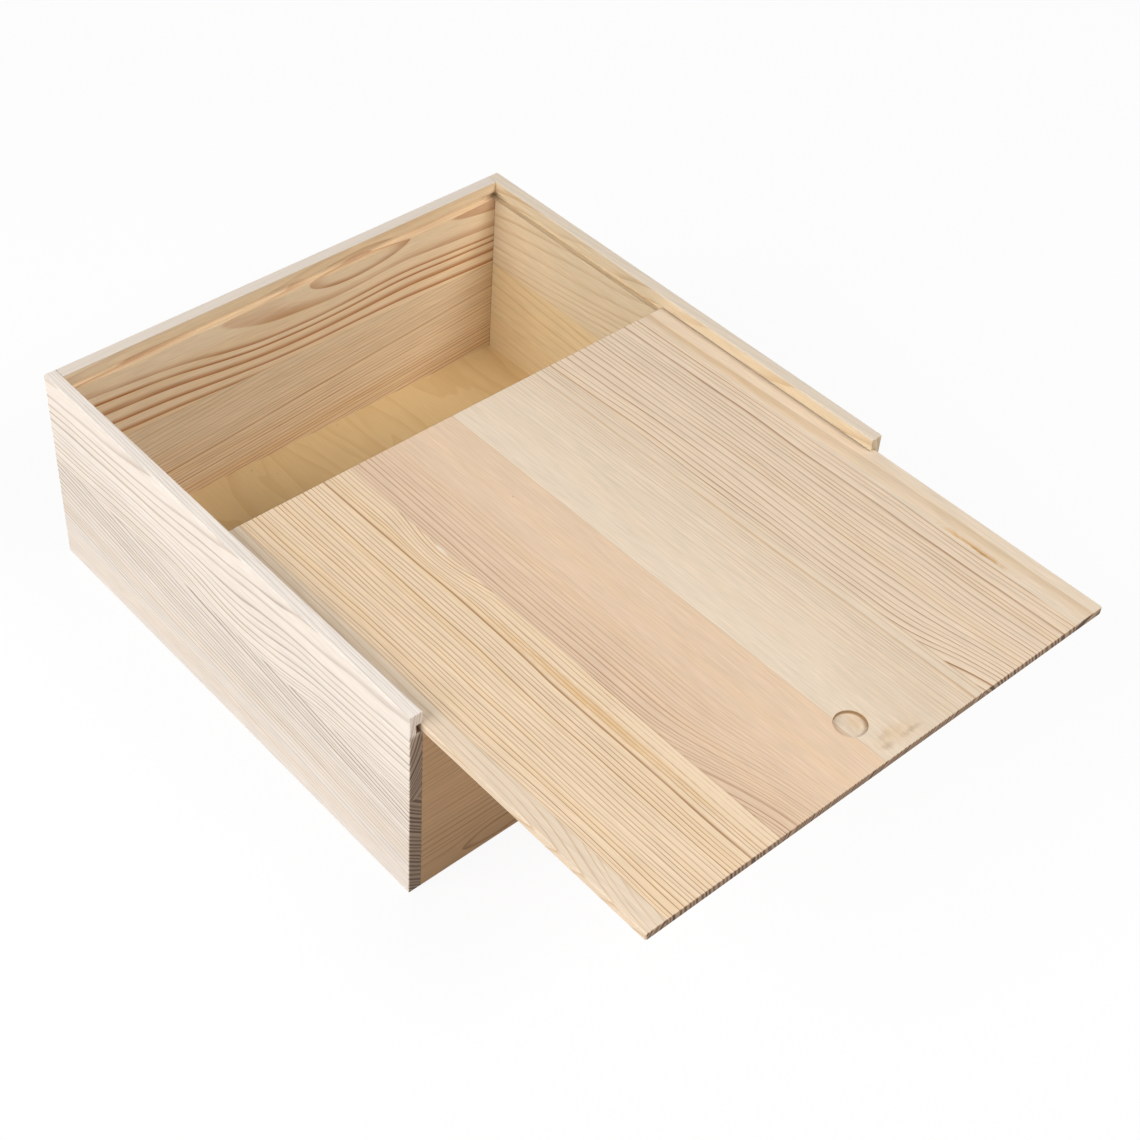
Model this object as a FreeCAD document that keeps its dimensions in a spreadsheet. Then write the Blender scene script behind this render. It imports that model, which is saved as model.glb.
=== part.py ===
import FreeCAD
import Part
import Sketcher
import os

# Pine box with a flat lid that slides in grooves, glued up from staves.
# Millimetres, +Z up. The origin is the centre of the underside, +X is to the right,
# and the lid opens towards -Y. The lid stands drawn part way out.

# Driving sizes, and shares of the sizes that they follow.
SIZES = {
    # Outside of the box: along the slide, across it, and upwards.
    "box_length": 300,
    "box_width": 305,
    "box_height": 124,
    "wall_thickness": 7,
    # Height of the glue line between the two staves of every wall.
    "wall_joint_share": 0.54,
    # Lip above the lid groove, and how deep groove and rebate go into the wall.
    "lip_height": 7,
    "groove_depth_share": 0.5,
    "rebate_depth_share": 0.5,
    # Plywood bottom, flush with the underside.
    "bottom_thickness": 4,
    "bottom_clearance": 0.2,
    # Lid, its play in the grooves, how much of the side play it has slipped to the right,
    # and how far it is drawn out.
    "lid_thickness": 4.5,
    "lid_running_gap": 0.25,
    "lid_top_clearance": 0.75,
    "lid_side_clearance": 1.5,
    "lid_slip_share": 0.85,
    "lid_end_clearance": 0.5,
    "lid_drawn_out": 143,
    "lid_corner_radius": 1.2,
    # Round finger recess, centred at an inset from the lid's front edge.
    "recess_diameter": 16,
    "recess_depth": 2,
    "recess_inset": 25,
    "recess_softening_share": 0.3,
    # Rounding of the sanded edges, and how far every cut runs past the wood.
    "edge_easing": 0.6,
    "cut_overrun": 2,
}

# Places of the lid's glue lines across its width, from its left edge.
LID_JOINT_SHARES = (0.038, 0.262, 0.486, 0.71, 0.934)

# Sizes that follow from the driving ones.
DERIVED = {
    "groove_depth": "wall_thickness * groove_depth_share",
    "groove_height": "lid_running_gap + lid_thickness + lid_top_clearance",
    "rebate_depth": "wall_thickness * rebate_depth_share",
    "web_thickness": "wall_thickness - groove_depth",
    "shelf_thickness": "wall_thickness - rebate_depth",
    "joint_height": "box_height * wall_joint_share",
    "ledge_height": "box_height - lip_height - groove_height",
    "inner_width": "box_width - 2 * wall_thickness",
    "panel_width": "box_width - 2 * shelf_thickness - 2 * bottom_clearance",
    "panel_length": "box_length - 2 * shelf_thickness - 2 * bottom_clearance",
    "lid_width": "box_width - 2 * web_thickness - 2 * lid_side_clearance",
    "lid_length": "box_length - web_thickness - lid_end_clearance",
    "lid_slip": "lid_side_clearance * lid_slip_share",
    "recess_radius": "recess_diameter / 2",
    "recess_floor": "lid_thickness - recess_depth",
    "recess_softening": "recess_depth * recess_softening_share",
}

# Two coordinates closer than this are the same place.
SAME_PLACE = 0.001

# The outer planes of a piece in its own frame, each as an axis and the end of its box.
OUTER_PLANES = {
    "x_low": ("x", "XMin"),
    "x_high": ("x", "XMax"),
    "y_low": ("y", "YMin"),
    "y_high": ("y", "YMax"),
    "z_low": ("z", "ZMin"),
    "z_high": ("z", "ZMax"),
}

doc = FreeCAD.newDocument("gift_box")
sheet = doc.addObject("Spreadsheet::Sheet", "Sizes")


def fill_sheet():
    """Give every size a row: its name, its value or formula, and an alias."""
    cells = {name: str(value) for name, value in SIZES.items()}
    cells.update({name: "=" + formula for name, formula in DERIVED.items()})
    edges = (0,) + LID_JOINT_SHARES + (1,)
    cells.update({f"lid_joint_{place}_share": str(share) for place, share in enumerate(edges)})
    for row, (name, content) in enumerate(cells.items(), start=1):
        sheet.set(f"A{row}", name)
        sheet.set(f"B{row}", content)
        sheet.setAlias(f"B{row}", name)
    doc.recompute()


def new_body(label, x, y, z, turn=0):
    """An empty piece in its place, turned about the vertical by a number of degrees."""
    body = doc.addObject("PartDesign::Body", label)
    body.Label = label
    body.Placement = FreeCAD.Placement(FreeCAD.Vector(), FreeCAD.Rotation(FreeCAD.Vector(0, 0, 1), turn))
    body.setExpression("Placement.Base.x", x)
    body.setExpression("Placement.Base.y", y)
    body.setExpression("Placement.Base.z", z)
    return body


def outline(body, name, role, points):
    """A closed outline of straight lines on one of the body's own planes.

    Every point is a pair of expressions, across and up the plane."""
    sketch = body.newObject("Sketcher::SketchObject", name)
    plane = [item for item in body.Origin.OriginFeatures if item.Role == role][0]
    sketch.AttachmentSupport = (plane, [""])
    sketch.MapMode = "FlatFace"
    corners = [FreeCAD.Vector(*(body.evalExpression(value) for value in point)) for point in points]
    for start, end in zip(corners, corners[1:] + corners[:1]):
        sketch.addGeometry(Part.LineSegment(start, end))
    for line in range(len(points)):
        following = (line + 1) % len(points)
        sketch.addConstraint(Sketcher.Constraint("Coincident", line, 2, following, 1))
    for line, (across, up) in enumerate(points):
        hold_point(sketch, line, "DistanceX", -2, across, corners[line].x)
        hold_point(sketch, line, "DistanceY", -1, up, corners[line].y)
    return sketch


def hold_point(sketch, line, kind, axis, expression, value):
    """Tie the start of a line to an axis, or to an expression's distance from it."""
    if expression == "0":
        sketch.addConstraint(Sketcher.Constraint("PointOnObject", line, 1, axis))
        return
    index = sketch.addConstraint(Sketcher.Constraint(kind, -1, 1, line, 1, value))
    sketch.renameConstraint(index, f"{kind}_{line}")
    sketch.setExpression(f"Constraints.{kind}_{line}", expression)


def rectangle(x_low, y_low, x_high, y_high):
    return [(x_low, y_low), (x_high, y_low), (x_high, y_high), (x_low, y_high)]


def feature(body, kind, name, sketch, reversed_way=False, **expressions):
    """A sketch-based feature of the body, with its sizes given as expressions."""
    item = body.newObject("PartDesign::" + kind, name)
    item.Profile = sketch
    item.Reversed = reversed_way
    for size, expression in expressions.items():
        item.setExpression(size, expression)
    doc.recompute()
    return item


def check_cut(before, after):
    """A cut that takes nothing away points the wrong way."""
    if after.Shape.Volume >= before.Shape.Volume:
        raise RuntimeError(after.Label + " cuts nothing")


def lies_on(edge, box, plane):
    """Whether a whole edge lies on one of the outer planes of a piece."""
    axis, end = OUTER_PLANES[plane]
    return all(abs(getattr(vertex.Point, axis) - getattr(box, end)) < SAME_PLACE for vertex in edge.Vertexes)


def edges_between(shape, pairs):
    """Names of the edges where each pair of outer planes meets."""
    box = shape.optimalBoundingBox()
    names = []
    for number, edge in enumerate(shape.Edges, start=1):
        if any(lies_on(edge, box, first) and lies_on(edge, box, second) for first, second in pairs):
            names.append(f"Edge{number}")
    return names


def round_edges(body, name, base, edge_names, radius):
    """Round the named edges of the body's last feature."""
    fillet = body.newObject("PartDesign::Fillet", name)
    fillet.Base = (base, edge_names)
    fillet.setExpression("Radius", radius)
    doc.recompute()
    return fillet


# A wall board in its own frame: X from the outer to the inner face, Y along it, Z upwards.
def wall_board(label, place, profile, length):
    """A stave cut to length, with its profile across the wall."""
    body = new_body(label, *place)
    sketch = outline(body, label + "_profile", "XZ_Plane", profile)
    return body, feature(body, "Pad", label + "_stave", sketch, True, Length=length)


def lower_stave(label, place, length, rebate_start, rebate_length, eased):
    """The lower stave of a wall, with the rebate for the bottom along its inner foot."""
    profile = rectangle("0", "0", "Sizes.wall_thickness", "Sizes.joint_height")
    body, stave = wall_board(label, place, profile, length)
    foot = rectangle("Sizes.shelf_thickness", rebate_start,
                     "Sizes.wall_thickness + Sizes.cut_overrun", f"{rebate_start} + {rebate_length}")
    sketch = outline(body, label + "_rebate_plan", "XY_Plane", foot)
    rebate = feature(body, "Pocket", label + "_rebate", sketch, True, Length="Sizes.bottom_thickness")
    check_cut(stave, rebate)
    round_edges(body, label + "_easing", rebate, edges_between(rebate.Shape, eased), "Sizes.edge_easing")
    return body


def grooved_stave(label, place, length, eased):
    """The upper stave of a wall that carries the lid: ledge, groove and lip."""
    groove_top = "Sizes.ledge_height + Sizes.groove_height"
    profile = [
        ("0", "Sizes.joint_height"),
        ("Sizes.wall_thickness", "Sizes.joint_height"),
        ("Sizes.wall_thickness", "Sizes.ledge_height"),
        ("Sizes.web_thickness", "Sizes.ledge_height"),
        ("Sizes.web_thickness", groove_top),
        ("Sizes.wall_thickness", groove_top),
        ("Sizes.wall_thickness", "Sizes.box_height"),
        ("0", "Sizes.box_height"),
    ]
    body, stave = wall_board(label, place, profile, length)
    round_edges(body, label + "_easing", stave, edges_between(stave.Shape, eased), "Sizes.edge_easing")
    return body


def low_stave(label, place, length, eased):
    """The upper stave of the front board, which ends at the ledge so that the lid passes over."""
    profile = rectangle("0", "Sizes.joint_height", "Sizes.wall_thickness", "Sizes.ledge_height")
    body, stave = wall_board(label, place, profile, length)
    round_edges(body, label + "_easing", stave, edges_between(stave.Shape, eased), "Sizes.edge_easing")
    return body


def bottom_panel():
    """The plywood bottom, lying in the rebate and flush with the underside."""
    body = new_body("bottom_panel", "-Sizes.panel_width / 2", "-Sizes.panel_length / 2", "0")
    plan = rectangle("0", "0", "Sizes.panel_width", "Sizes.panel_length")
    sketch = outline(body, "bottom_plan", "XY_Plane", plan)
    feature(body, "Pad", "bottom_sheet", sketch, Length="Sizes.bottom_thickness")
    return body


# A lid stave in the lid's frame: the origin is under the finger recess's centre, Y runs to the back.
def lid_stave(number, count):
    """One stave of the lid, with the lid's rounded rim where the stave reaches it."""
    label = f"lid_stave_{number}"
    body = new_body(label, "Sizes.lid_slip", "Sizes.recess_inset - Sizes.box_length / 2 - Sizes.lid_drawn_out",
                    "Sizes.ledge_height + Sizes.lid_running_gap")
    left = f"Sizes.lid_width * (Sizes.lid_joint_{number - 1}_share - 1 / 2)"
    right = f"Sizes.lid_width * (Sizes.lid_joint_{number}_share - 1 / 2)"
    plan = rectangle(left, "-Sizes.recess_inset", right, "Sizes.lid_length - Sizes.recess_inset")
    sketch = outline(body, label + "_plan", "XY_Plane", plan)
    board = feature(body, "Pad", label + "_board", sketch, Length="Sizes.lid_thickness")
    radius = sheet.get("recess_radius")
    if body.evalExpression(left) < radius and body.evalExpression(right) > -radius:
        board = finger_recess(body, label, board)
    rim = [("y_low", "z_low"), ("y_low", "z_high"), ("y_high", "z_low"), ("y_high", "z_high")]
    outer_sides = {1: "x_low", count: "x_high"}
    if number in outer_sides:
        side = outer_sides[number]
        corners = edges_between(board.Shape, [(side, "y_low"), (side, "y_high")])
        board = round_edges(body, label + "_corners", board, corners, "Sizes.lid_corner_radius")
        rim += [(side, "z_low"), (side, "z_high")]
    round_edges(body, label + "_easing", board, edges_between(board.Shape, rim), "Sizes.edge_easing")
    return body


def finger_recess(body, label, board):
    """The stave's share of the round recess, with a soft corner at its floor."""
    top = "Sizes.lid_thickness + Sizes.cut_overrun"
    section = rectangle("0", "Sizes.recess_floor", "Sizes.recess_radius", top)
    sketch = outline(body, label + "_recess_section", "XZ_Plane", section)
    recess = body.newObject("PartDesign::Groove", label + "_recess")
    recess.Profile = sketch
    recess.ReferenceAxis = (sketch, ["V_Axis"])
    recess.Angle = 360
    doc.recompute()
    check_cut(board, recess)
    floor = sheet.get("recess_floor")
    corner = [
        f"Edge{number}"
        for number, edge in enumerate(recess.Shape.Edges, start=1)
        if isinstance(edge.Curve, Part.Circle)
        and all(abs(vertex.Z - floor) < SAME_PLACE for vertex in edge.Vertexes)
    ]
    return round_edges(body, label + "_recess_corner", recess, corner, "Sizes.recess_softening")


def build_walls():
    """The two sides run the full length; the back and the front stand between them."""
    half_width = "Sizes.box_width / 2"
    half_length = "Sizes.box_length / 2"
    between = f"{half_width} - Sizes.wall_thickness"
    left = (f"-{half_width}", f"-{half_length}", "0", 0)
    right = (half_width, half_length, "0", 180)
    back = (f"-({between})", half_length, "0", -90)
    front = (between, f"-{half_length}", "0", 90)
    ends = [("x_low", "y_low"), ("x_low", "y_high")]
    foot = [("x_low", "z_low")]
    top = [("x_low", "z_high"), ("x_high", "z_high")]
    foot_ends = [("y_low", "z_low"), ("y_high", "z_low")]
    top_ends = [("y_low", "z_high"), ("y_high", "z_high")]
    through = ("-Sizes.cut_overrun", "Sizes.inner_width + 2 * Sizes.cut_overrun")
    stopped = ("Sizes.shelf_thickness", "Sizes.box_length - 2 * Sizes.shelf_thickness")
    walls = []
    for name, place in (("left_side", left), ("right_side", right)):
        walls.append(lower_stave(name + "_lower", place, "Sizes.box_length", *stopped, ends + foot + foot_ends))
        walls.append(grooved_stave(name + "_upper", place, "Sizes.box_length", ends + top + top_ends))
    walls.append(lower_stave("back_lower", back, "Sizes.inner_width", *through, foot))
    walls.append(grooved_stave("back_upper", back, "Sizes.inner_width", top))
    walls.append(lower_stave("front_lower", front, "Sizes.inner_width", *through, foot))
    walls.append(low_stave("front_upper", front, "Sizes.inner_width", top))
    return walls


def build_lid():
    count = len(LID_JOINT_SHARES) + 1
    return [lid_stave(number, count) for number in range(1, count + 1)]


def check_and_write(pieces):
    """Write every piece, once all of the model has come out sound."""
    doc.recompute()
    for item in doc.Objects:
        if "Invalid" in item.State or "Error" in item.State:
            raise RuntimeError(f"{item.Label} failed: {item.State}")
    for piece in pieces:
        shape = piece.Shape
        if shape.isNull() or not shape.isValid() or len(shape.Solids) != 1:
            raise RuntimeError(piece.Label + " is not one sound solid")
    os.makedirs("parts", exist_ok=True)
    for piece in pieces:
        piece.Shape.exportStep(f"parts/{piece.Label}.step")
        print(f"{piece.Label}: {piece.Shape.Volume:.0f} mm3, {piece.Shape.optimalBoundingBox()}")


fill_sheet()
check_and_write(build_walls() + [bottom_panel()] + build_lid())
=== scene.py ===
"""Finishes, light and camera for a pine gift box with a sliding lid."""

import math
from typing import NamedTuple

import bmesh
import bpy
from mathutils import Euler, Matrix, Vector


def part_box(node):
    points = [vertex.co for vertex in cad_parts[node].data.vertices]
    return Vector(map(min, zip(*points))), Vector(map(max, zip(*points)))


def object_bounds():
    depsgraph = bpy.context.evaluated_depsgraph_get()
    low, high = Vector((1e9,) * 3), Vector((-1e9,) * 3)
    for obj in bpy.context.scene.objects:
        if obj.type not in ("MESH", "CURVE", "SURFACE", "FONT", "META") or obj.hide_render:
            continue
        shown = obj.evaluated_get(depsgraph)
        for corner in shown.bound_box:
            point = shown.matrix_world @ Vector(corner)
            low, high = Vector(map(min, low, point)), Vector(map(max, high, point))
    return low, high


bl_info = {
    "name": "Pine Gift Box",
    "version": (1, 0, 0),
    "blender": (4, 5, 0),
    "location": "View3D > Sidebar > Gift Box",
    "description": "Finishes, light and camera for a pine box with a sliding lid",
    "category": "Object",
}

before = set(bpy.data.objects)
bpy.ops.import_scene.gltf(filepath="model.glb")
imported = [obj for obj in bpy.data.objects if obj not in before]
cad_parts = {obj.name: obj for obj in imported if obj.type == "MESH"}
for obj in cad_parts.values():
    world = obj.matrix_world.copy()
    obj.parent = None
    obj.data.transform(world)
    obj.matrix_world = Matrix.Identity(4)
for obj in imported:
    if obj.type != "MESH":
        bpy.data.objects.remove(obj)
CAD_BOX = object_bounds()

MM_PER_M = 1000
SENSOR_MM = 36

# Sizes of the wood's patterns in millimetres: across, along and out of a stave.
SLOW_WAVE = (45, 190, 45)
QUICK_WAVE = (14, 60, 14)
PATCH = (7, 70, 7)
STREAK = (9, 260, 9)
BLOTCH = (22, 110, 22)
RAGGED = (1.5, 4, 1.5)
PORE = (0.6, 14, 0.6)

# How the rings bend: the quick waves' height as a share of the slow ones', and the drift of the rings' own
# width, over how many rings it runs and by how many it moves a line.
QUICK_SHARE = 0.32
DRIFT_RINGS = 4
DRIFT_SHIFT = 2.2

# One year's ring, as shares of its width: where it starts to darken, is darkest and breaks off, and where the
# band on a sawn end begins.
DARKENS, DARKEST, BREAKS_OFF = 0.2, 0.95, 0.96
CUT_BAND = (0.4, 0.55)
SLOW_SHARE = 0.1  # part of the darkening that comes slowly, before the line itself
FAINTEST_YEAR = 0.55  # strength of the faintest ring, where the boldest has 1
HAIRS_PER_MM = 1.6
HAIR_STRENGTH = 0.16

# The noise between which patches and warm streaks rise, the patches' contrast, and how strongly fibres,
# blotches and pores change the tone.
PATCH_NOISE = (0.3, 0.7)
PATCH_CONTRAST = (0.65, 1.1)
STREAK_NOISE = (0.45, 0.75)
FIBRE_TONE = 0.4
BLOTCH_TONE = 0.1
PORE_TONE = 0.14

# Marks of work and use, the darkened inside of the lid groove, and one painted highlight. Edges of stains, of
# the highlight and of the recess wall are shares of the spot's size, the rest is in millimetres: below the
# lid's face, about the groove, and out from the middle of the wall.
GLUE_STRENGTH = 0.4
SPOT_EDGE = (0.6, 1.3)
BURNISH_EDGE = (0.02, 0.08)
BURNISH_DEPTH = (0.3, 0.05)
BURNISH_STRENGTH = 0.8
GROOVE_DARK_EDGE = 0.1
GROOVE_DARK_REACH = (2.4, 3.4)
GROOVE_DARKNESS = 0.75

# Millimetres below a lip's top: where its sawn end turns paler, as painted light on the lip's end above the
# lid, and how deep its greyed edge reaches.
LIP_END = (15, 12)
TOP_EDGE = (1.2, 0.2)

# How dark the open pores make a sawn end.
WALL_END_TONE = 0.75
LID_END_TONE = 1.0

# Bare sanded wood: its gloss, the height of its fibres in metres, how much the ring lines stand up beside them,
# and how strongly that shows.
WOOD_IOR = 1.5
WOOD_SPECULAR = 0.3
RELIEF = 0.0002
LINE_RELIEF = 0.5
PINE_BUMP = 0.25
VENEER_BUMP = 0.2


def linear(hex_colour):
    """An sRGB hex colour as linear red, green and blue."""
    shares = [int(hex_colour[place:place + 2], 16) / 255 for place in (1, 3, 5)]
    return tuple(c / 12.92 if c <= 0.04045 else ((c + 0.055) / 1.055) ** 2.4 for c in shares)


def colour(name, hex_colour, description):
    """A colour property with an sRGB default."""
    return bpy.props.FloatVectorProperty(
        name=name, description=description, subtype="COLOR", size=3, min=0, max=1, default=linear(hex_colour))


def length(name, default_mm, description):
    """A length property, written in millimetres and kept in metres."""
    return bpy.props.FloatProperty(
        name=name, description=description, subtype="DISTANCE", unit="LENGTH", default=default_mm / MM_PER_M)


def factor(name, default, description):
    """A share from 0 to 1."""
    return bpy.props.FloatProperty(
        name=name, description=description, subtype="FACTOR", min=0, max=1, default=default)


class GiftBoxPine(bpy.types.PropertyGroup):
    """Colours and fine detail of the bare pine."""
    # The left side's pale sapwood is partly a painted highlight: paler and less yellow than the wood, standing
    # in for the lamp at the left. The same colour also marks a pale fleck on the lid.
    sap_and_highlight: colour("Sapwood", "#F2E8DE", "Pale wood of the left side, between the ring lines")
    sap_and_highlight_line: colour("Sapwood line", "#8E7863", "Ring lines of the pale left side")
    cream: colour("Cream", "#F0D8B9", "Wood of the lid's boldly lined left stave, between the lines")
    cream_line: colour("Cream line", "#97642D", "Ring lines of the boldly lined stave")
    oat: colour("Oat", "#EAD5BC", "Duller wood of the lid's lined right stave")
    oat_line: colour("Oat line", "#9A6C40", "Ring lines of the duller lined stave")
    blush: colour("Blush", "#E3C7AB", "Pinkish wood of the lid's plain middle stave")
    blush_line: colour("Blush line", "#A0704E", "Ring lines of the pinkish stave")
    straw: colour("Straw", "#E6D3BC", "Pale straw wood of the lid's smoothest staves")
    straw_line: colour("Straw line", "#BF9A6C", "Ring lines of the straw staves")
    maize: colour("Maize", "#E8D5B5", "Yellower wood of the right side")
    maize_line: colour("Maize line", "#B98D52", "Ring lines of the right side")
    honey: colour("Honey", "#F6E0BE", "Warmer wood of the back")
    honey_line: colour("Honey line", "#B5733A", "Bold ring lines of the back")
    # The front board's tan is more orange than its wood: painted warm bounce light in the shade under the lid.
    tan: colour("Tan", "#E3BD93", "Browner wood of the front board")
    tan_line: colour("Tan line", "#8F6138", "Ring lines of the front board")
    hay: colour("Hay", "#E6CFA5", "Duller wood low on the right side")
    hay_line: colour("Hay line", "#B89460", "Ring lines of the duller wood")
    warm: colour("Warm streak", "#EAC591", "Slow warm streaks along a stave")
    end_grain: colour("End grain", "#AA8C72", "Sawn ends, where open pores hold the dust")
    end_line: colour("End grain line", "#3A2518", "Ring lines on the sawn ends")
    top_edge: colour("Top edge", "#DED4CA", "Sanded top edges of the lips, greyed by handling")
    fleck: colour("Fleck", "#7A6648", "Dark flecks and old smudges")
    # Besides resin, this colour paints a highlight on the floor of the finger recess.
    resin_and_highlight: colour("Resin", "#D6A660", "Yellow streaks where resin gathered")
    burnish: colour("Burnish", "#86622C", "Burnished wall of the drilled finger recess")
    dark_brown: colour("Scorch", "#8A5A2B", "Inside of the lid groove, and the darkest resin")
    glue: colour("Glue line", "#A98A66", "Hairline between glued staves")
    fibre_width: length("Fibre width", 0.6, "Width of the fine streaks along the grain")
    fibre_length: length("Fibre length", 18, "Length of the fine streaks along the grain")
    glue_width: length("Glue line width", 0.25, "Width of the hairline between glued staves")
    end_depth: length("End grain depth", 0.45, "How far in from a sawn end the darker tone reaches")
    roughness: factor("Roughness", 0.62, "Roughness of the sanded, unvarnished surface")


class GiftBoxPlywood(bpy.types.PropertyGroup):
    """Colours of the plywood bottom."""
    face: colour("Face veneer", "#E6CA98", "Peeled veneer between its figure")
    figure: colour("Figure", "#D0A970", "Broad figure of the peeled veneer")
    roughness: factor("Roughness", 0.58, "Roughness of the sanded veneer")


class GiftBoxStage(bpy.types.PropertyGroup):
    """Floor, light and camera."""
    floor: colour("Floor", "#F6F5F3", "Plain pale floor, as the camera sees it")
    bounce: colour("Floor bounce", "#C2BCB4", "What the floor throws back at the box")
    floor_size: length("Floor size", 8000, "Side of the square floor")
    floor_glow: factor("Floor white", 0.92, "Share of plain white in the floor that the camera sees")
    sky: bpy.props.FloatProperty(
        name="Sky", description="Strength of the even light from all round", min=0, default=0.17)
    left_power: bpy.props.FloatProperty(
        name="Left power", description="Power of the soft lamp at the left", subtype="POWER", min=0, default=47)
    left_size: length("Left size", 1700, "Side of the square lamp at the left")
    left_place: bpy.props.FloatVectorProperty(
        name="Left place", description="Where the lamp at the left stands", subtype="XYZ",
        default=(-1.97, 0.12, 1.2))
    front_power: bpy.props.FloatProperty(
        name="Front power", description="Power of the soft lamp in front", subtype="POWER", min=0, default=39.5)
    front_size: length("Front size", 1000, "Side of the square lamp in front")
    front_place: bpy.props.FloatVectorProperty(
        name="Front place", description="Where the lamp in front stands", subtype="XYZ",
        default=(0.6, -1.8, 1.95))
    back_power: bpy.props.FloatProperty(
        name="Back power", description="Power of the weak lamp behind", subtype="POWER", min=0, default=10)
    back_size: length("Back size", 1200, "Side of the square lamp behind")
    back_place: bpy.props.FloatVectorProperty(
        name="Back place", description="Where the lamp behind stands", subtype="XYZ",
        default=(1.6, 1.9, 0.62))
    target: bpy.props.FloatVectorProperty(
        name="Target", description="The point that the lamps face", subtype="XYZ", default=(0, -0.06, 0.08))
    camera_place: bpy.props.FloatVectorProperty(
        name="Camera place", description="Where the camera stands", subtype="XYZ",
        default=(-0.52401, -0.6096, 0.79092))
    camera_azimuth: bpy.props.FloatProperty(
        name="Azimuth", description="Turn of the view about the vertical", subtype="ANGLE",
        default=math.radians(-42.049))
    camera_elevation: bpy.props.FloatProperty(
        name="Elevation", description="Height of the view above the horizon", subtype="ANGLE",
        default=math.radians(43.166))
    camera_roll: bpy.props.FloatProperty(
        name="Roll", description="Tilt of the camera about its own view", subtype="ANGLE",
        default=math.radians(2.525))
    camera_lens: bpy.props.FloatProperty(
        name="Lens", description="Focal length in millimetres on a 36 mm sensor", default=64.78)
    camera_shift: bpy.props.FloatVectorProperty(
        name="Shift", description="Sideways and upward shift of the frame", size=2, default=(0.0681, -0.0344))


class Grain(NamedTuple):
    """How one stave was sawn and grew. Lengths are in millimetres in the stave's own frame:
    across it, along it, and out of it."""
    wood: str
    heart: tuple  # where the middle of the tree lay: across, out
    ring: float  # width of one year's ring
    line: float  # share of a ring that is the dark late wood
    contrast: tuple  # strength of the lines at the low and the high edge
    lean: float  # how far the rings climb for each millimetre along
    wave: float  # height of their slow waves
    seed: float
    warm: float = 0.35  # strength of the slow warm streaks
    shade: float = 1  # lightness of the whole stave
    swells: tuple = ()  # bulges of the rings: across, along, half width, half length, height
    marks: tuple = ()  # flecks, smudges, resin and a painted highlight: across, along, half width, half length, strength, colour
    recess: tuple = ()  # the drilled finger recess: across, along, radius
    lip: tuple = (0, 0)  # how much greyer the lip's top edge, and how much paler its end is: painted light above the lid
    groove: tuple = ()  # the lid groove, darkened inside: low and high across, sign of out at its mouth


# The staves' own directions as turns of the frame: the lid's, the sides', and the back's and front's.
LYING = Euler((0, 0, 0))
SIDE = Euler((0, math.radians(90), 0))
CROSS = Euler((math.radians(90), 0, math.radians(90)))

WALL_GRAIN = {
    # The left side's staves take the sapwood colour with its painted highlight.
    "left_side_upper": (SIDE, Grain(
        "sap_and_highlight", heart=(36, 82), ring=1.9, line=0.34, contrast=(1.05, 0.5), lean=-0.022, wave=1.6, seed=3,
        warm=0.1, swells=((-26, -25, 40, 80, -4.5), (-26, 60, 40, 90, 1.5)), lip=(0.1, 0.7),
        groove=(16, 21.5, -1))),
    "left_side_lower": (SIDE, Grain(
        "sap_and_highlight", heart=(147, -120), ring=2.2, line=0.4, contrast=(0.15, 1.3), lean=0.08, wave=2.2,
        seed=11, warm=0.2, shade=0.95)),
    "right_side_upper": (SIDE, Grain(
        "maize", heart=(42, -60), ring=3.4, line=0.4, contrast=(0.5, 0.45), lean=-0.07, wave=3.2,
        seed=23, warm=0.15, shade=0.94, lip=(0.5, 0.7))),
    "right_side_lower": (SIDE, Grain(
        "hay", heart=(60, 60), ring=4.0, line=0.4, contrast=(0.15, 0.5), lean=0.03, wave=2.0, seed=31)),
    "back_upper": (CROSS, Grain(
        "honey", heart=(16, -22.2), ring=5.4, line=0.55, contrast=(1.8, 0.3), lean=-0.035, wave=1.8,
        seed=43, warm=0.5, shade=1.03, swells=((16, 40, 22, 65, -7), (-10, -5, 32, 105, -5)),
        lip=(0.85, 0.7))),
    "back_lower": (CROSS, Grain(
        "honey", heart=(70, -30), ring=2.3, line=0.4, contrast=(1.2, 0.4), lean=0.085, wave=1.8,
        seed=53, warm=0.6, shade=0.94)),
    # The front staves take the tan with its painted warm shade.
    "front_upper": (CROSS, Grain(
        "tan", heart=(60, -60), ring=3.2, line=0.4, contrast=(0.45, 0.3), lean=0.01, wave=1.6, seed=61)),
    "front_lower": (CROSS, Grain(
        "tan", heart=(-27, -14), ring=3.2, line=0.45, contrast=(0.85, 0.2), lean=0.01, wave=1.8,
        seed=71, shade=1.03, swells=((-23, -95, 16, 42, -4),))),
}

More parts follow.
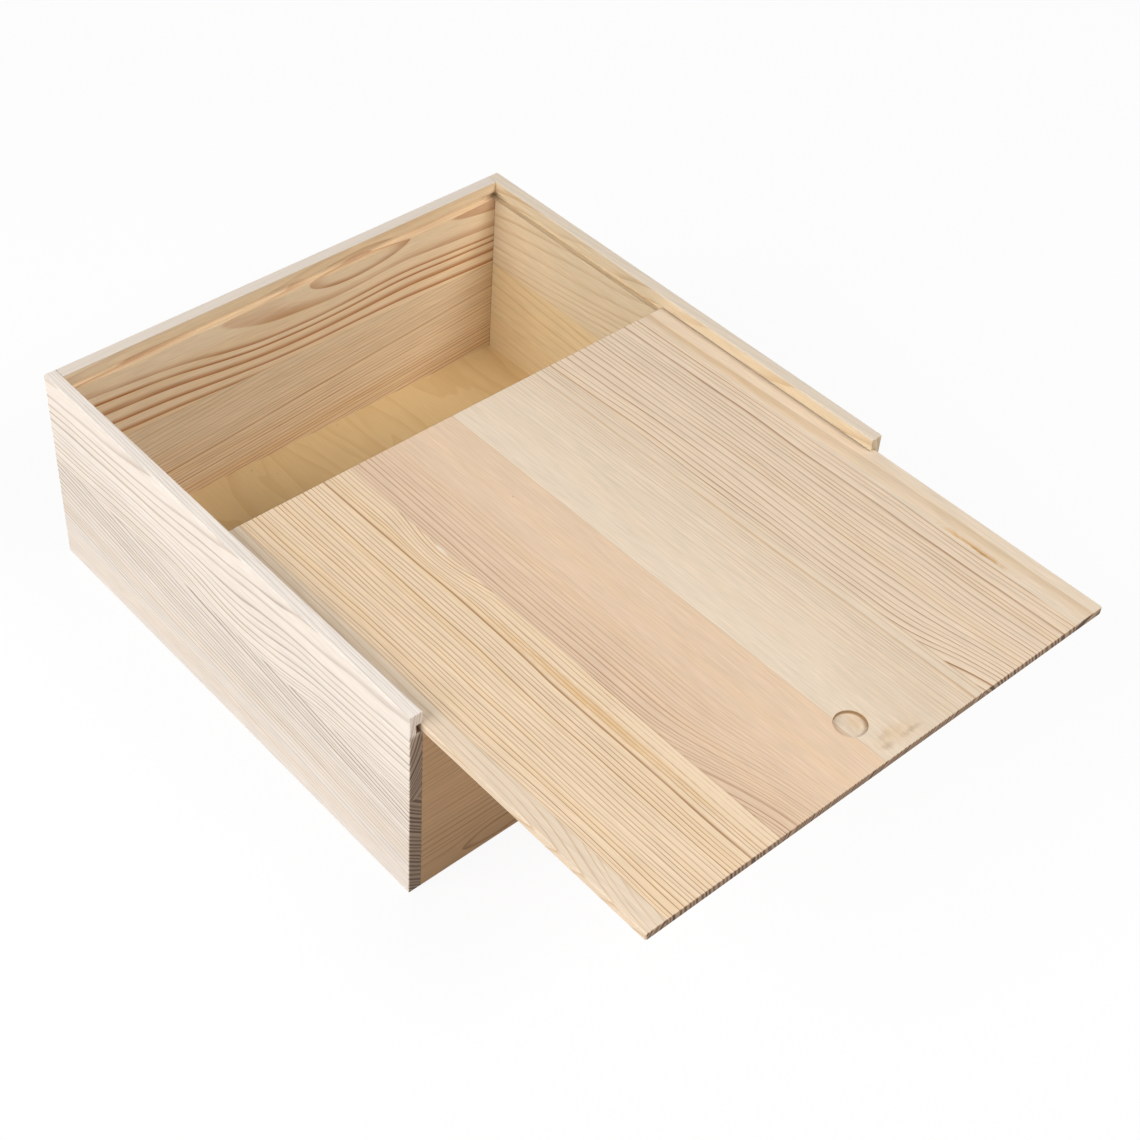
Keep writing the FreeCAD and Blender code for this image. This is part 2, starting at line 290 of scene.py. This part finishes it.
LID_GRAIN = {
    "lid_stave_1": Grain(
        "straw", heart=(22, -12), ring=2.8, line=0.3, contrast=(0.7, 0.7), lean=0.02, wave=2.2, seed=83,
        warm=0.15, swells=((0, -170, 60, 125, -13),)),
    "lid_stave_2": Grain(
        "cream", heart=(90, 22), ring=2.4, line=0.29, contrast=(1.05, 1.2), lean=0.004, wave=2.6,
        seed=97, warm=0.4, swells=((33, 72, 20, 48, -6),), marks=((-13, 129, 0.5, 0.9, 0.8, "fleck"),
        (21, -45, 5, 120, 0.5, "resin_and_highlight"), (32, 75, 1.2, 7, 0.8, "sap_and_highlight"), (29, -110, 8, 100, 0.7, "cream"))),
    "lid_stave_3": Grain(
        "blush", heart=(75, -50), ring=2.3, line=0.38, contrast=(1.0, -0.55), lean=0.006, wave=1.0,
        seed=101, warm=0.25, swells=((-36, -165, 75, 115, 19),),
        marks=((17.5, 82, 0.4, 0.7, 0.7, "fleck"), (16, 30, 0.35, 0.6, 0.5, "fleck")),
        recess=(37.17, -123, 8)),
    "lid_stave_4": Grain(
        "straw", heart=(-75, 50), ring=2.0, line=0.4, contrast=(-0.4, 1.0), lean=0.008, wave=0.8,
        seed=113, warm=0.15, marks=((-19, -139, 20, 8, 0.24, "resin_and_highlight"),
        (-10, -142, 10, 2.4, 0.3, "burnish"), (-26, -142, 6, 3, 0.3, "burnish"),
        (-23, -137, 6, 3, 0.2, "burnish"), (4, -130, 60, 70, 0.08, "fleck"),
        # The last resin spot, in the finger recess, is a painted highlight on the recess floor.
        (-25, -123, 8, 8, 0.3, "resin_and_highlight")), recess=(-28.91, -123, 8)),
    "lid_stave_5": Grain(
        "oat", heart=(-64, -28), ring=2.9, line=0.29, contrast=(1.05, 1.0), lean=0.008, wave=3.0,
        seed=127, warm=0.2, swells=((-33, -165, 50, 90, -9),)),
    "lid_stave_6": Grain(
        "straw", heart=(-30, 60), ring=5.0, line=0.4, contrast=(0.5, 0.35), lean=0.01, wave=1.4,
        seed=131, warm=0.4, marks=((-6.5, -85, 2.6, 36, 0.9, "resin_and_highlight"),
        (-6.9, -88, 1.2, 20, 0.6, "dark_brown"))),
}

# The bottom's veneer is peeled from the log, so the rings lie nearly flat in it and their figure is broad.
VENEER = Grain(
    "", heart=(20, -400), ring=9, line=0.6, contrast=(0.42, 0.42), lean=0.05, wave=24, seed=151,
    marks=((-38, 138, 0.8, 0.9, 0.7, "fleck"), (-28, 127, 0.7, 0.8, 0.6, "fleck"),
           (25, 140, 0.7, 0.8, 0.6, "fleck")))


def add(tree, kind, inputs=None, **settings):
    """A shader node with its settings, and each input set to a value or linked from a socket."""
    node = tree.nodes.new("ShaderNode" + kind)
    for name, value in settings.items():
        setattr(node, name, value)
    for socket, value in (inputs or {}).items():
        if isinstance(value, bpy.types.NodeSocket):
            tree.links.new(value, node.inputs[socket])
        else:
            node.inputs[socket].default_value = value
    return node


def new_material(name):
    """An empty node material and its tree."""
    material = bpy.data.materials.new(name)
    material.use_nodes = True
    material.node_tree.nodes.clear()
    return material, material.node_tree


def stave_frame(tree, node, turn):
    """Millimetres in the stave's own frame, from its middle: across, along, out. Also its half sizes."""
    low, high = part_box(node)
    middle = turn.to_matrix() @ ((low + high) / 2 * MM_PER_M)
    half = turn.to_matrix() @ ((high - low) / 2 * MM_PER_M)
    coordinates = add(tree, "TexCoord")
    place = add(tree, "Mapping", {
        "Vector": coordinates.outputs["Object"], "Location": -middle, "Rotation": turn,
        "Scale": (MM_PER_M,) * 3})
    return place.outputs["Vector"], [abs(size) for size in half]


def stretched_noise(tree, place, periods, seed, detail):
    """Soft noise whose spots have the given sizes in millimetres: across, along and out."""
    scaled = add(tree, "Mapping", {
        "Vector": place, "Location": (seed, seed, seed), "Scale": tuple(1 / period for period in periods)})
    noise = add(tree, "TexNoise", {"Vector": scaled.outputs["Vector"], "Scale": 1.0, "Detail": detail})
    return noise.outputs["Fac"]


def spread(tree, place, spot):
    """How far a point lies from the middle of a long spot: 1 at the spot's edge."""
    across, along, half_width, half_length = spot
    scaled = add(tree, "Mapping", {
        "Vector": place, "Location": (across, along, 0), "Scale": (half_width, half_length, MM_PER_M)},
        vector_type="TEXTURE")
    return add(tree, "VectorMath", {0: scaled.outputs["Vector"]}, operation="LENGTH").outputs["Value"]


def growth(tree, place, grain):
    """Distance from the heart of the tree, with the slow waves and bulges of its rings, in millimetres."""
    across, out = grain.heart
    flat = add(tree, "VectorMath", {0: place, 1: (1, 0, 1), 2: (-across, 0, -out)}, operation="MULTIPLY_ADD")
    distance = add(tree, "VectorMath", {0: flat.outputs["Vector"]}, operation="LENGTH").outputs["Value"]
    climb = add(tree, "VectorMath", {0: place, 1: (0, grain.lean, 0)}, operation="DOT_PRODUCT").outputs["Value"]
    total = add(tree, "Math", {0: distance, 1: climb}, operation="ADD").outputs[0]
    for periods, share in ((SLOW_WAVE, 1.0), (QUICK_WAVE, QUICK_SHARE)):
        noise = stretched_noise(tree, place, periods, grain.seed, 1.0)
        height = add(tree, "MapRange", {
            "Value": noise, "To Min": -grain.wave * share, "To Max": grain.wave * share})
        total = add(tree, "Math", {0: total, 1: height.outputs[0]}, operation="ADD").outputs[0]
    for *spot, height in grain.swells:
        rise = add(tree, "MapRange", {"Value": spread(tree, place, spot), "To Min": height, "To Max": 0},
                   interpolation_type="SMOOTHERSTEP")
        total = add(tree, "Math", {0: total, 1: rise.outputs[0]}, operation="ADD").outputs[0]
    uneven = add(tree, "Math", {0: total, 1: 1 / (DRIFT_RINGS * grain.ring)}, operation="MULTIPLY").outputs[0]
    years = add(tree, "TexNoise", {"W": uneven, "Scale": 1.0, "Detail": 1.0}, noise_dimensions="1D")
    return add(tree, "Math", {0: years.outputs["Fac"], 1: DRIFT_SHIFT * grain.ring, 2: total},
               operation="MULTIPLY_ADD").outputs[0]


def late_wood(tree, distance, grain):
    """How much of the dark late wood a point has, and the wider dark band it makes on a sawn end: each
    ring darkens slowly and ends sharply."""
    years = add(tree, "Math", {0: distance, 1: grain.ring}, operation="DIVIDE").outputs[0]
    season = add(tree, "Math", {0: years}, operation="FRACT").outputs[0]
    year = add(tree, "Math", {0: years}, operation="FLOOR").outputs[0]
    strength = add(tree, "TexWhiteNoise", {"W": year}, noise_dimensions="1D").outputs["Value"]
    strength = add(tree, "MapRange", {"Value": strength, "To Min": FAINTEST_YEAR, "To Max": 1.0}).outputs[0]
    slow = add(tree, "MapRange", {
        "Value": season, "From Min": DARKENS, "From Max": DARKEST, "To Max": SLOW_SHARE})
    rise = add(tree, "MapRange", {
        "Value": season, "From Min": 1 - grain.line, "From Max": DARKEST, "To Max": 1 - SLOW_SHARE},
        interpolation_type="SMOOTHSTEP")
    fall = add(tree, "MapRange", {
        "Value": season, "From Min": BREAKS_OFF, "From Max": 1.0, "To Min": 1.0, "To Max": 0.0},
        interpolation_type="SMOOTHSTEP")
    line = add(tree, "Math", {0: slow.outputs[0], 1: rise.outputs[0]}, operation="ADD").outputs[0]
    line = add(tree, "Math", {0: line, 1: fall.outputs[0]}, operation="MULTIPLY").outputs[0]
    line = add(tree, "Math", {0: line, 1: strength}, operation="MULTIPLY").outputs[0]
    hair = add(tree, "TexNoise", {"W": distance, "Scale": HAIRS_PER_MM, "Detail": 2.0}, noise_dimensions="1D")
    late = add(tree, "Math", {0: hair.outputs["Fac"], 1: HAIR_STRENGTH, 2: line},
               operation="MULTIPLY_ADD").outputs[0]
    band = add(tree, "MapRange", {
        "Value": season, "From Min": CUT_BAND[0], "From Max": CUT_BAND[1]}).outputs[0]
    band = add(tree, "Math", {0: band, 1: fall.outputs[0]}, operation="MULTIPLY").outputs[0]
    return late, add(tree, "Math", {0: band, 1: strength}, operation="MULTIPLY").outputs[0]


def burnish(tree, place, out, surface, recess, wood):
    """The wall of the drilled recess, rubbed dark by the bit, below the stave's face."""
    across, along, radius = recess
    beyond = add(tree, "Math", {0: spread(tree, place, (across, along, radius, radius)), 1: 1},
                 operation="SUBTRACT").outputs[0]
    near = add(tree, "Math", {0: beyond}, operation="ABSOLUTE").outputs[0]
    wall = add(tree, "MapRange", {
        "Value": near, "From Min": BURNISH_EDGE[0], "From Max": BURNISH_EDGE[1],
        "To Min": 1.0, "To Max": 0.0}).outputs[0]
    sunk = add(tree, "MapRange", {
        "Value": out, "From Min": surface - BURNISH_DEPTH[0], "From Max": surface - BURNISH_DEPTH[1],
        "To Min": BURNISH_STRENGTH, "To Max": 0.0}).outputs[0]
    darkened = add(tree, "Math", {0: wall, 1: sunk}, operation="MULTIPLY").outputs[0]
    return add(tree, "Mix", {"Factor": darkened, 6: wood, 7: (*bpy.context.scene.gift_box_pine.burnish, 1)},
               data_type="RGBA").outputs[2]


def darken_groove(tree, parts, groove, wood):
    """The inside of the lid groove, darkened."""
    low, high, mouth = groove
    middle, half_height = (low + high) / 2, (high - low) / 2
    height = add(tree, "Math", {0: parts.outputs[0], 1: middle}, operation="SUBTRACT").outputs[0]
    height = add(tree, "Math", {0: height}, operation="ABSOLUTE").outputs[0]
    within = add(tree, "MapRange", {
        "Value": height, "From Min": half_height, "From Max": half_height + GROOVE_DARK_EDGE,
        "To Min": GROOVE_DARKNESS, "To Max": 0.0}).outputs[0]
    depth = add(tree, "Math", {0: parts.outputs[2], 1: mouth}, operation="MULTIPLY").outputs[0]
    behind = add(tree, "MapRange", {
        "Value": depth, "From Min": -2 * GROOVE_DARK_EDGE, "From Max": -GROOVE_DARK_EDGE}).outputs[0]
    ahead = add(tree, "MapRange", {
        "Value": depth, "From Min": GROOVE_DARK_REACH[0], "From Max": GROOVE_DARK_REACH[1],
        "To Min": 1.0, "To Max": 0.0}).outputs[0]
    inside = add(tree, "Math", {0: behind, 1: ahead}, operation="MULTIPLY").outputs[0]
    darkened = add(tree, "Math", {0: inside, 1: within}, operation="MULTIPLY").outputs[0]
    return add(tree, "Mix", {"Factor": darkened, 6: wood, 7: (*bpy.context.scene.gift_box_pine.dark_brown, 1)},
               data_type="RGBA").outputs[2]


def stains_and_highlight(tree, place, marks, wood):
    """Flecks, smudges, resin and a painted highlight, with ragged edges."""
    for *spot, strength, tint in marks:
        ragged = stretched_noise(tree, place, RAGGED, 5, 3.0)
        edge = add(tree, "Math", {0: ragged, 1: spread(tree, place, spot)}, operation="ADD").outputs[0]
        amount = add(tree, "MapRange", {
            "Value": edge, "From Min": SPOT_EDGE[0], "From Max": SPOT_EDGE[1],
            "To Min": strength, "To Max": 0}).outputs[0]
        wood = add(tree, "Mix", {
            "Factor": amount, 6: wood, 7: (*getattr(bpy.context.scene.gift_box_pine, tint), 1)},
            data_type="RGBA").outputs[2]
    return wood


def pine(node, turn, grain, glued, end_tone):
    """Bare sanded pine: pale early wood, darker late-wood lines that follow the tree's rings through
    the whole stave, fine fibres along it, and darker sawn ends. Matte, with a faint rise at the lines."""
    settings = bpy.context.scene.gift_box_pine
    material, tree = new_material("sanded_pine_" + node)
    place, half = stave_frame(tree, node, turn)
    parts = add(tree, "SeparateXYZ", {0: place})
    distance = growth(tree, place, grain)
    late, band = late_wood(tree, distance, grain)
    contrast = add(tree, "MapRange", {
        "Value": parts.outputs[0], "From Min": -half[0], "From Max": half[0],
        "To Min": grain.contrast[0], "To Max": grain.contrast[1]}).outputs[0]
    patchy = add(tree, "MapRange", {
        "Value": stretched_noise(tree, place, PATCH, grain.seed + 11, 1.0),
        "From Min": PATCH_NOISE[0], "From Max": PATCH_NOISE[1],
        "To Min": PATCH_CONTRAST[0], "To Max": PATCH_CONTRAST[1]}).outputs[0]
    contrast = add(tree, "Math", {0: contrast, 1: patchy}, operation="MULTIPLY", use_clamp=True).outputs[0]
    amount = add(tree, "Math", {0: late, 1: contrast}, operation="MULTIPLY", use_clamp=True).outputs[0]
    streak = add(tree, "MapRange", {
        "Value": stretched_noise(tree, place, STREAK, grain.seed + 3, 2.0),
        "From Min": STREAK_NOISE[0], "From Max": STREAK_NOISE[1], "To Max": grain.warm}).outputs[0]
    early = add(tree, "Mix", {
        "Factor": streak, 6: (*getattr(settings, grain.wood), 1), 7: (*settings.warm, 1)},
        data_type="RGBA").outputs[2]
    wood = add(tree, "Mix", {
        "Factor": amount, 6: early, 7: (*getattr(settings, grain.wood + "_line"), 1)},
        data_type="RGBA").outputs[2]
    fibre = stretched_noise(tree, place, (
        settings.fibre_width * MM_PER_M, settings.fibre_length * MM_PER_M, settings.fibre_width * MM_PER_M),
        grain.seed, 2.0)
    blotch = stretched_noise(tree, place, BLOTCH, grain.seed + 7, 2.0)
    darkest = grain.shade - (FIBRE_TONE + BLOTCH_TONE) / 2
    tone = add(tree, "Math", {0: fibre, 1: FIBRE_TONE, 2: darkest}, operation="MULTIPLY_ADD").outputs[0]
    tone = add(tree, "Math", {0: blotch, 1: BLOTCH_TONE, 2: tone}, operation="MULTIPLY_ADD").outputs[0]
    wood = add(tree, "HueSaturation", {"Value": tone, "Color": wood}).outputs[0]
    for side, edge in glued:
        inset = add(tree, "MapRange", {
            "Value": parts.outputs[0], "From Min": edge - side * settings.glue_width * MM_PER_M,
            "From Max": edge, "To Min": 0.0, "To Max": GLUE_STRENGTH})
        wood = add(tree, "Mix", {"Factor": inset.outputs[0], 6: wood, 7: (*settings.glue, 1)},
                   data_type="RGBA").outputs[2]
    wood = stains_and_highlight(tree, place, grain.marks, wood)
    if grain.recess:
        wood = burnish(tree, place, parts.outputs[2], half[2], grain.recess, wood)
    if grain.groove:
        # The inside of the lid groove is darkened.
        wood = darken_groove(tree, parts, grain.groove, wood)
    top = add(tree, "MapRange", {
        "Value": parts.outputs[0], "From Min": half[0] - TOP_EDGE[0], "From Max": half[0] - TOP_EDGE[1],
        "To Max": grain.lip[0]}).outputs[0]
    wood = add(tree, "Mix", {"Factor": top, 6: wood, 7: (*settings.top_edge, 1)}, data_type="RGBA").outputs[2]
    reach = add(tree, "Math", {0: parts.outputs[1]}, operation="ABSOLUTE").outputs[0]
    sawn = add(tree, "MapRange", {
        "Value": reach, "From Min": half[1] - settings.end_depth * MM_PER_M, "From Max": half[1]}).outputs[0]
    # Near a lip's top the sawn end is painted paler. This is painted light on the lip's end, which is lit above
    # the lid while the end below lies in the lid's shade.
    end_tone_lip_lit = add(tree, "MapRange", {
        "Value": parts.outputs[0], "From Min": half[0] - LIP_END[0], "From Max": half[0] - LIP_END[1],
        "To Min": end_tone, "To Max": end_tone * (1 - grain.lip[1])}).outputs[0]
    end_grain_lip_lit = add(tree, "Math", {0: sawn, 1: end_tone_lip_lit}, operation="MULTIPLY").outputs[0]
    ends = add(tree, "Mix", {"Factor": end_grain_lip_lit, 6: wood, 7: (*settings.end_grain, 1)},
               data_type="RGBA").outputs[2]
    cut_rings = add(tree, "Math", {0: band, 1: end_grain_lip_lit}, operation="MULTIPLY").outputs[0]
    ends = add(tree, "Mix", {"Factor": cut_rings, 6: ends, 7: (*settings.end_line, 1)},
               data_type="RGBA").outputs[2]
    relief = add(tree, "Math", {0: amount, 1: LINE_RELIEF, 2: fibre}, operation="MULTIPLY_ADD").outputs[0]
    bump = add(tree, "Bump", {"Height": relief, "Strength": PINE_BUMP, "Distance": RELIEF})
    shader = add(tree, "BsdfPrincipled", {
        "Base Color": ends, "Roughness": settings.roughness, "IOR": WOOD_IOR,
        "Specular IOR Level": WOOD_SPECULAR, "Normal": bump.outputs["Normal"]})
    add(tree, "OutputMaterial", {"Surface": shader.outputs["BSDF"]})
    return material


def plywood(node):
    """Peeled veneer: one broad, flowing figure with soft edges, warmer than the staves, and fine pores."""
    settings = bpy.context.scene.gift_box_plywood
    material, tree = new_material("veneered_plywood")
    place, _ = stave_frame(tree, node, LYING)
    late, _ = late_wood(tree, growth(tree, place, VENEER), VENEER)
    amount = add(tree, "Math", {0: late, 1: VENEER.contrast[0]}, operation="MULTIPLY",
                 use_clamp=True).outputs[0]
    wood = add(tree, "Mix", {"Factor": amount, 6: (*settings.face, 1), 7: (*settings.figure, 1)},
               data_type="RGBA").outputs[2]
    fibre = stretched_noise(tree, place, PORE, 5, 2.0)
    tone = add(tree, "Math", {0: fibre, 1: PORE_TONE, 2: 1 - PORE_TONE / 2},
               operation="MULTIPLY_ADD").outputs[0]
    wood = add(tree, "HueSaturation", {"Value": tone, "Color": wood}).outputs[0]
    wood = stains_and_highlight(tree, place, VENEER.marks, wood)
    bump = add(tree, "Bump", {"Height": fibre, "Strength": VENEER_BUMP, "Distance": RELIEF})
    shader = add(tree, "BsdfPrincipled", {
        "Base Color": wood, "Roughness": settings.roughness, "IOR": WOOD_IOR,
        "Specular IOR Level": WOOD_SPECULAR, "Normal": bump.outputs["Normal"]})
    add(tree, "OutputMaterial", {"Surface": shader.outputs["BSDF"]})
    return material


def dress(node, material):
    """Give every face of a CAD piece the material."""
    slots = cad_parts[node].material_slots
    if not slots:
        raise RuntimeError(node + " has no material slot")
    for slot in slots:
        slot.material = material


class GIFTBOX_OT_walls(bpy.types.Operator):
    """Finish the glued staves of the four walls"""
    bl_idname = "gift_box.walls"
    bl_label = "Finish Walls"

    def execute(self, context):
        for node, (turn, grain) in WALL_GRAIN.items():
            low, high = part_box(node)
            edge = (high.z - low.z) / 2 * MM_PER_M
            side = 1 if node.endswith("_lower") else -1
            dress(node, pine(node, turn, grain, [(side, side * edge)], WALL_END_TONE))
        return {"FINISHED"}


class GIFTBOX_OT_bottom(bpy.types.Operator):
    """Finish the plywood bottom"""
    bl_idname = "gift_box.bottom"
    bl_label = "Finish Bottom"

    def execute(self, context):
        dress("bottom_panel", plywood("bottom_panel"))
        return {"FINISHED"}


class GIFTBOX_OT_lid(bpy.types.Operator):
    """Finish the edge-glued staves of the lid"""
    bl_idname = "gift_box.lid"
    bl_label = "Finish Lid"

    def execute(self, context):
        staves = list(LID_GRAIN)
        for node, grain in LID_GRAIN.items():
            low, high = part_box(node)
            edge = (high.x - low.x) / 2 * MM_PER_M
            glued = []
            if node != staves[0]:
                glued.append((-1, -edge))
            if node != staves[-1]:
                glued.append((1, edge))
            dress(node, pine(node, LYING, grain, glued, LID_END_TONE))
        return {"FINISHED"}


def straight_ray(tree):
    """1 for what the camera sees directly, by reflection or through glass, and 0 for stray light."""
    seen = add(tree, "LightPath")
    straight = add(tree, "Math", {0: seen.outputs["Is Camera Ray"], 1: seen.outputs["Is Glossy Ray"]},
                   operation="MAXIMUM").outputs[0]
    return add(tree, "Math", {0: straight, 1: seen.outputs["Is Transmission Ray"]},
               operation="MAXIMUM").outputs[0]


def floor_material(settings):
    """Matte studio paper: white to the camera where it is lit, and still holding the shadow."""
    material, tree = new_material("studio_paper")
    paper = add(tree, "BsdfDiffuse", {"Color": (*settings.floor, 1)})
    white = add(tree, "Emission", {"Color": (1, 1, 1, 1), "Strength": 1.0})
    seen = add(tree, "MixShader", {0: settings.floor_glow, 1: paper.outputs[0], 2: white.outputs[0]})
    bounce = add(tree, "BsdfDiffuse", {"Color": (*settings.bounce, 1)})
    both = add(tree, "MixShader", {0: straight_ray(tree), 1: bounce.outputs[0], 2: seen.outputs[0]})
    add(tree, "OutputMaterial", {"Surface": both.outputs[0]})
    return material


def light_world(settings):
    """Even light from all round, which the camera sees as plain white."""
    world = bpy.data.worlds.new("studio")
    bpy.context.scene.world = world
    world.use_nodes = True
    tree = world.node_tree
    tree.nodes.clear()
    strength = add(tree, "MapRange", {"Value": straight_ray(tree), "To Min": settings.sky, "To Max": 1.0})
    sky = add(tree, "Background", {"Color": (1, 1, 1, 1), "Strength": strength.outputs[0]})
    add(tree, "OutputWorld", {"Surface": sky.outputs[0]})


def add_lamp(name, place, size, power, target):
    """A square soft lamp that faces the target."""
    lamp = bpy.data.lights.new(name, "AREA")
    lamp.shape = "SQUARE"
    lamp.size = size
    lamp.energy = power
    item = bpy.data.objects.new(name, lamp)
    bpy.context.scene.collection.objects.link(item)
    away = Vector(place) - Vector(target)
    item.matrix_world = Matrix.Translation(place) @ away.to_track_quat("Z", "Y").to_matrix().to_4x4()
    item.visible_camera = False


def place_camera(settings):
    """The camera, turned by azimuth, elevation and roll."""
    azimuth, elevation = settings.camera_azimuth, settings.camera_elevation
    back = Vector((math.sin(azimuth) * math.cos(elevation), -math.cos(azimuth) * math.cos(elevation),
                   math.sin(elevation)))
    right = Vector((math.cos(azimuth), math.sin(azimuth), 0))
    turn = Matrix((right, back.cross(right), back)).transposed()
    data = bpy.data.cameras.new("camera")
    data.lens = settings.camera_lens
    data.sensor_width = SENSOR_MM
    data.shift_x, data.shift_y = settings.camera_shift
    camera = bpy.data.objects.new("camera", data)
    bpy.context.scene.collection.objects.link(camera)
    camera.matrix_world = (Matrix.Translation(settings.camera_place) @ turn.to_4x4()
                           @ Matrix.Rotation(settings.camera_roll, 4, "Z"))
    bpy.context.scene.camera = camera


class GIFTBOX_OT_stage(bpy.types.Operator):
    """Lay the floor, set the light and place the camera"""
    bl_idname = "gift_box.stage"
    bl_label = "Set Stage"

    def execute(self, context):
        settings = context.scene.gift_box_stage
        mesh = bpy.data.meshes.new("floor")
        shape = bmesh.new()
        bmesh.ops.create_grid(shape, x_segments=1, y_segments=1, size=settings.floor_size / 2)
        bmesh.ops.translate(shape, verts=shape.verts, vec=(0, 0, CAD_BOX[0].z))
        shape.to_mesh(mesh)
        shape.free()
        mesh.materials.append(floor_material(settings))
        floor = bpy.data.objects.new("floor", mesh)
        context.scene.collection.objects.link(floor)
        light_world(settings)
        add_lamp("left", settings.left_place, settings.left_size, settings.left_power, settings.target)
        add_lamp("front", settings.front_place, settings.front_size, settings.front_power, settings.target)
        add_lamp("back", settings.back_place, settings.back_size, settings.back_power, settings.target)
        place_camera(settings)
        context.scene.view_settings.view_transform = "Standard"
        return {"FINISHED"}


class GIFTBOX_PT_panel(bpy.types.Panel):
    """The box's steps in the sidebar"""
    bl_label = "Gift Box"
    bl_idname = "GIFTBOX_PT_panel"
    bl_space_type = "VIEW_3D"
    bl_region_type = "UI"
    bl_category = "Gift Box"

    def draw(self, context):
        for step in STEPS:
            self.layout.operator(step.bl_idname)


STEPS = (GIFTBOX_OT_walls, GIFTBOX_OT_bottom, GIFTBOX_OT_lid, GIFTBOX_OT_stage)
GROUPS = {"gift_box_pine": GiftBoxPine, "gift_box_plywood": GiftBoxPlywood, "gift_box_stage": GiftBoxStage}


def register():
    for group in GROUPS.values():
        bpy.utils.register_class(group)
    for name, group in GROUPS.items():
        setattr(bpy.types.Scene, name, bpy.props.PointerProperty(type=group))
    for step in (*STEPS, GIFTBOX_PT_panel):
        bpy.utils.register_class(step)


def unregister():
    for step in (GIFTBOX_PT_panel, *reversed(STEPS)):
        bpy.utils.unregister_class(step)
    for name, group in reversed(GROUPS.items()):
        delattr(bpy.types.Scene, name)
        bpy.utils.unregister_class(group)


def main():
    register()
    bpy.ops.gift_box.walls()
    bpy.ops.gift_box.bottom()
    bpy.ops.gift_box.lid()
    bpy.ops.gift_box.stage()


if __name__ == "__main__":
    main()
